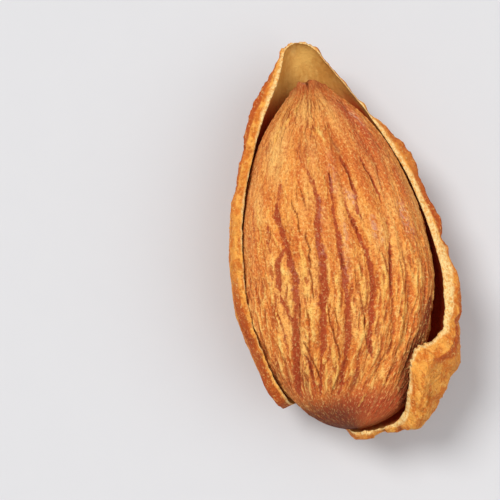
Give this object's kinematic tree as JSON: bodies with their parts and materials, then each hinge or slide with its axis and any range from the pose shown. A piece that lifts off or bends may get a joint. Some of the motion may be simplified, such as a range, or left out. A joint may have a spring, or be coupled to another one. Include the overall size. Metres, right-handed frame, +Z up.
{
  "type": "almond in opened shell",
  "caption": "Almond as cracked: a pointed, furrowed brown kernel lying in the boat-shaped half of its thin, ridged shell, with a broken rim and a flap curled over the kernel.",
  "frame": {"origin": "bottom centre of the bounding box, on the surface that the shell rests on", "axes": "+Y along the almond towards its tips, +X towards the flap of the shell, +Z up out of the open side"},
  "size_m": [0.017, 0.0306, 0.0101],
  "materials": {
    "kernel": "dull, finely wrinkled skin",
    "shell": "dull, pitted outside and smooth inside"
  },
  "bodies": {
    "root": {"kernel": "kernel", "shell": "shell"}
  },
  "joints": []
}
